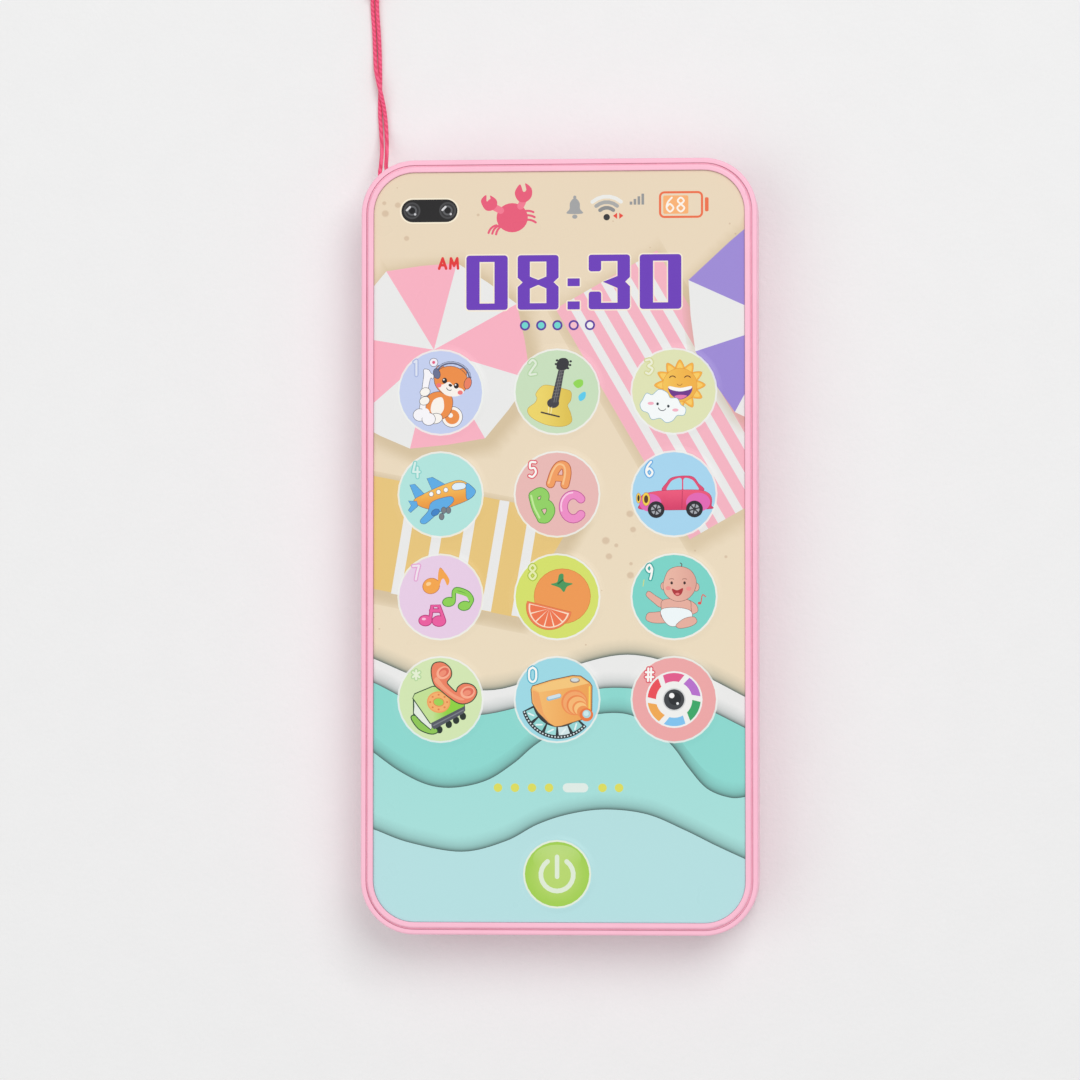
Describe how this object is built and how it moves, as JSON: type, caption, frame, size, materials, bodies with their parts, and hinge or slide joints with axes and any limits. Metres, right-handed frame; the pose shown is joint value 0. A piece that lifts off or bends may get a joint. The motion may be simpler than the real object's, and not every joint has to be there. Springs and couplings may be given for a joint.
{
  "type": "toy cell phone",
  "caption": "Slim toy phone with a printed film screen over press keys, a rounded two-part casing, speaker, battery bay and a thin wrist cord at one corner.",
  "frame": {"origin": "centre of the back face, which the phone lies on", "axes": "+X to the right of the screen, +Y to the top edge where the cord leaves, +Z out of the screen"},
  "size_m": [0.0807, 0.1992, 0.014],
  "materials": {
    "shell_pink": "satin",
    "film_print": "glossy print",
    "key_white": "matte",
    "dome_steel": "brushed",
    "board_green": "solder mask",
    "resin_black": "gloss resin",
    "component_body": "matte",
    "lamp_clear": "clear",
    "screw_steel": "zinc",
    "gasket_foam": "matte",
    "speaker_steel": "satin",
    "speaker_magnet": "plated",
    "speaker_cone": "paper",
    "cell_steel": "polished",
    "contact_nickel": "nickel",
    "wire_red": "satin",
    "wire_black": "satin",
    "cord_pink": "braided"
  },
  "bodies": {
    "phone_body": {"rear_shell": "shell_pink", "front_frame": "shell_pink", "screen_film": "film_print", "dome_1": "dome_steel", "dome_2": "dome_steel", "dome_3": "dome_steel", "dome_4": "dome_steel", "dome_5": "dome_steel", "dome_6": "dome_steel", "dome_7": "dome_steel", "dome_8": "dome_steel", "dome_9": "dome_steel", "dome_star": "dome_steel", "dome_0": "dome_steel", "dome_hash": "dome_steel", "dome_power": "dome_steel", "main_board": "board_green", "chip_blob": "resin_black", "board_components": "component_body", "lamps": "lamp_clear", "board_screws": "screw_steel", "case_screws": "screw_steel", "speaker_gasket": "gasket_foam", "speaker_basket": "speaker_steel", "speaker_magnet": "speaker_magnet", "speaker_cone": "speaker_cone", "button_cell_left": "cell_steel", "button_cell_middle": "cell_steel", "button_cell_right": "cell_steel", "contact_plus": "contact_nickel", "contact_minus": "contact_nickel", "cell_link_top": "contact_nickel", "battery_wire_red": "wire_red", "battery_wire_black": "wire_black", "speaker_wire_red": "wire_red", "speaker_wire_black": "wire_black", "lanyard_strand_left": "cord_pink", "lanyard_strand_right": "cord_pink", "lanyard_hitch": "cord_pink", "lanyard_coil": "cord_pink", "lanyard_knot": "cord_pink", "lanyard_tie": "cord_pink"},
    "battery_door_set": {"battery_door": "shell_pink", "door_screws": "screw_steel", "cell_link_door": "contact_nickel"},
    "key_1_set": {"key_1": "key_white"},
    "key_2_set": {"key_2": "key_white"},
    "key_3_set": {"key_3": "key_white"},
    "key_4_set": {"key_4": "key_white"},
    "key_5_set": {"key_5": "key_white"},
    "key_6_set": {"key_6": "key_white"},
    "key_7_set": {"key_7": "key_white"},
    "key_8_set": {"key_8": "key_white"},
    "key_9_set": {"key_9": "key_white"},
    "key_star_set": {"key_star": "key_white"},
    "key_0_set": {"key_0": "key_white"},
    "key_hash_set": {"key_hash": "key_white"},
    "power_key_set": {"power_key": "key_white"}
  },
  "joints": [
    {"name": "press_key_1", "type": "slide", "parent": "phone_body", "child": "key_1_set", "axis": [0, 0, -1], "range_m": [0, 0.0004], "stiffness_N_per_m": 1500, "springref_m": -0.0002, "deforming": ["dome_1"]},
    {"name": "press_key_2", "type": "slide", "parent": "phone_body", "child": "key_2_set", "axis": [0, 0, -1], "range_m": [0, 0.0004], "stiffness_N_per_m": 1500, "springref_m": -0.0002, "deforming": ["dome_2"]},
    {"name": "press_key_3", "type": "slide", "parent": "phone_body", "child": "key_3_set", "axis": [0, 0, -1], "range_m": [0, 0.0004], "stiffness_N_per_m": 1500, "springref_m": -0.0002, "deforming": ["dome_3"]},
    {"name": "press_key_4", "type": "slide", "parent": "phone_body", "child": "key_4_set", "axis": [0, 0, -1], "range_m": [0, 0.0004], "stiffness_N_per_m": 1500, "springref_m": -0.0002, "deforming": ["dome_4"]},
    {"name": "press_key_5", "type": "slide", "parent": "phone_body", "child": "key_5_set", "axis": [0, 0, -1], "range_m": [0, 0.0004], "stiffness_N_per_m": 1500, "springref_m": -0.0002, "deforming": ["dome_5"]},
    {"name": "press_key_6", "type": "slide", "parent": "phone_body", "child": "key_6_set", "axis": [0, 0, -1], "range_m": [0, 0.0004], "stiffness_N_per_m": 1500, "springref_m": -0.0002, "deforming": ["dome_6"]},
    {"name": "press_key_7", "type": "slide", "parent": "phone_body", "child": "key_7_set", "axis": [0, 0, -1], "range_m": [0, 0.0004], "stiffness_N_per_m": 1500, "springref_m": -0.0002, "deforming": ["dome_7"]},
    {"name": "press_key_8", "type": "slide", "parent": "phone_body", "child": "key_8_set", "axis": [0, 0, -1], "range_m": [0, 0.0004], "stiffness_N_per_m": 1500, "springref_m": -0.0002, "deforming": ["dome_8"]},
    {"name": "press_key_9", "type": "slide", "parent": "phone_body", "child": "key_9_set", "axis": [0, 0, -1], "range_m": [0, 0.0004], "stiffness_N_per_m": 1500, "springref_m": -0.0002, "deforming": ["dome_9"]},
    {"name": "press_key_star", "type": "slide", "parent": "phone_body", "child": "key_star_set", "axis": [0, 0, -1], "range_m": [0, 0.0004], "stiffness_N_per_m": 1500, "springref_m": -0.0002, "deforming": ["dome_star"]},
    {"name": "press_key_0", "type": "slide", "parent": "phone_body", "child": "key_0_set", "axis": [0, 0, -1], "range_m": [0, 0.0004], "stiffness_N_per_m": 1500, "springref_m": -0.0002, "deforming": ["dome_0"]},
    {"name": "press_key_hash", "type": "slide", "parent": "phone_body", "child": "key_hash_set", "axis": [0, 0, -1], "range_m": [0, 0.0004], "stiffness_N_per_m": 1500, "springref_m": -0.0002, "deforming": ["dome_hash"]},
    {"name": "press_power_key", "type": "slide", "parent": "phone_body", "child": "power_key_set", "axis": [0, 0, -1], "range_m": [0, 0.0004], "stiffness_N_per_m": 1500, "springref_m": -0.0002, "deforming": ["dome_power"]},
    {"name": "battery_door_off", "type": "slide", "parent": "phone_body", "child": "battery_door_set", "axis": [0, 0, -1], "range_m": [0, 0.02]}
  ]
}
